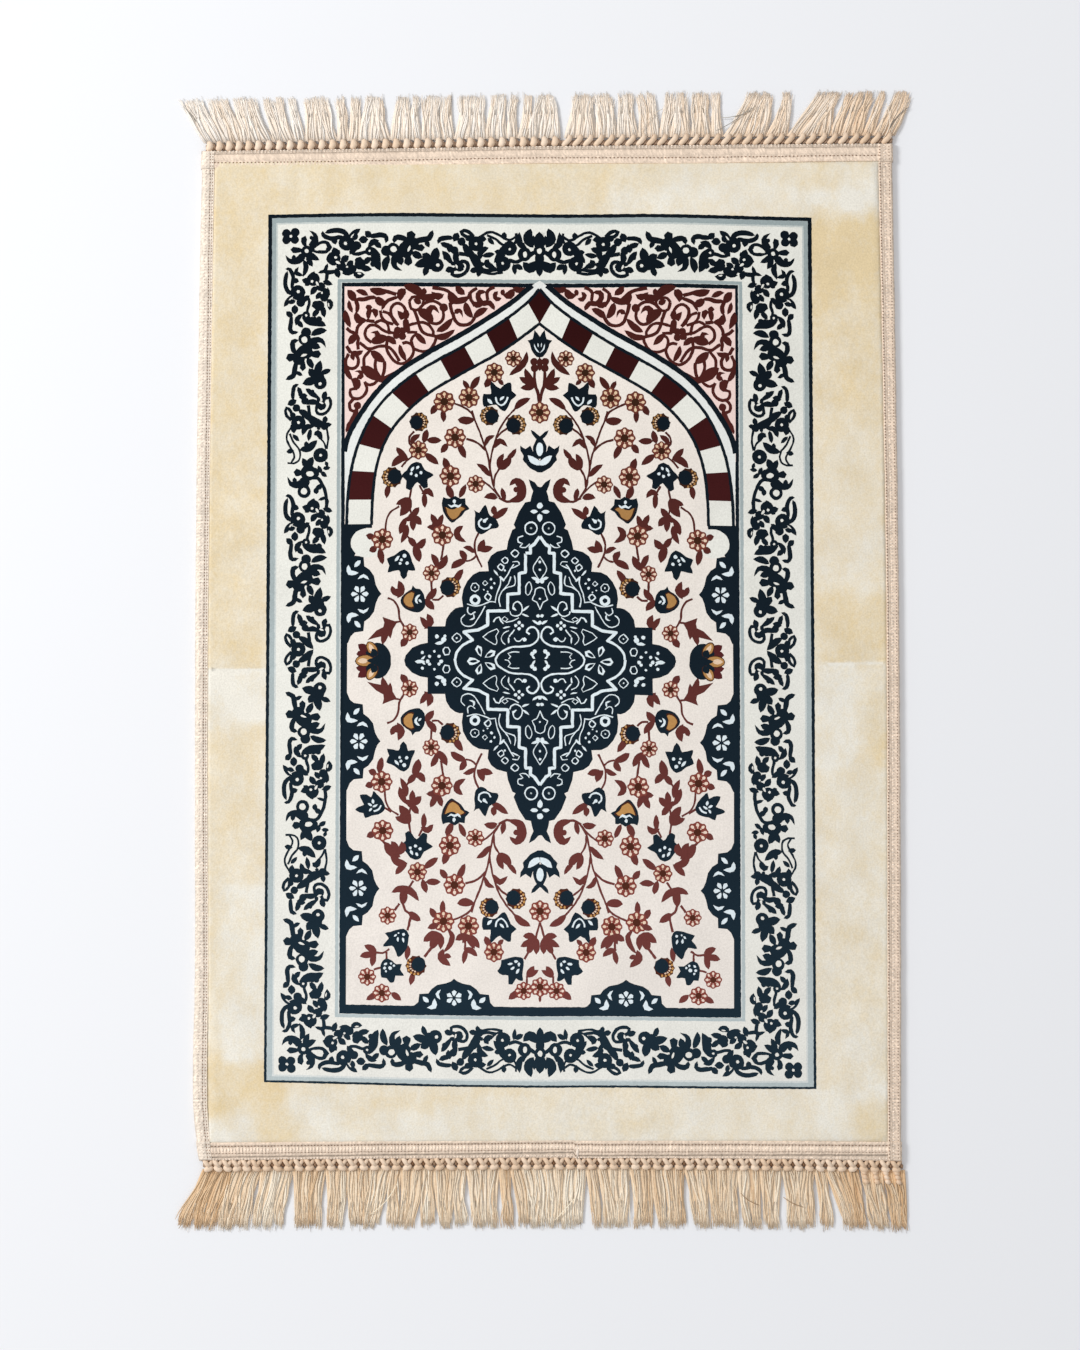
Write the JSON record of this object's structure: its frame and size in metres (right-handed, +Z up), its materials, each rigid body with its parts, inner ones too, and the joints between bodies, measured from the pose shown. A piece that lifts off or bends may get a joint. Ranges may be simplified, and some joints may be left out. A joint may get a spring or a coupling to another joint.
{
  "type": "prayer rug",
  "caption": "Plush prayer rug lying flat, with folded binding tapes along its long sides and a knotted tassel fringe at each end.",
  "frame": {"origin": "middle of the rug's outline with its fringes, on the surface it lies on", "axes": "+X to the right across the rug, +Y along the rug towards the end where the arch points, +Z up"},
  "size_m": [0.74, 1.14, 0.0066],
  "materials": {
    "plush": "brushed velvet pile",
    "tape": "knitted matt tape",
    "yarn": "soft filament yarn"
  },
  "bodies": {
    "root": {"pile_cloth": "plush", "binding_left": "tape", "binding_right": "tape", "heading_top": "tape", "heading_bottom": "tape", "fringe_top": "yarn", "fringe_bottom": "yarn"}
  },
  "joints": []
}
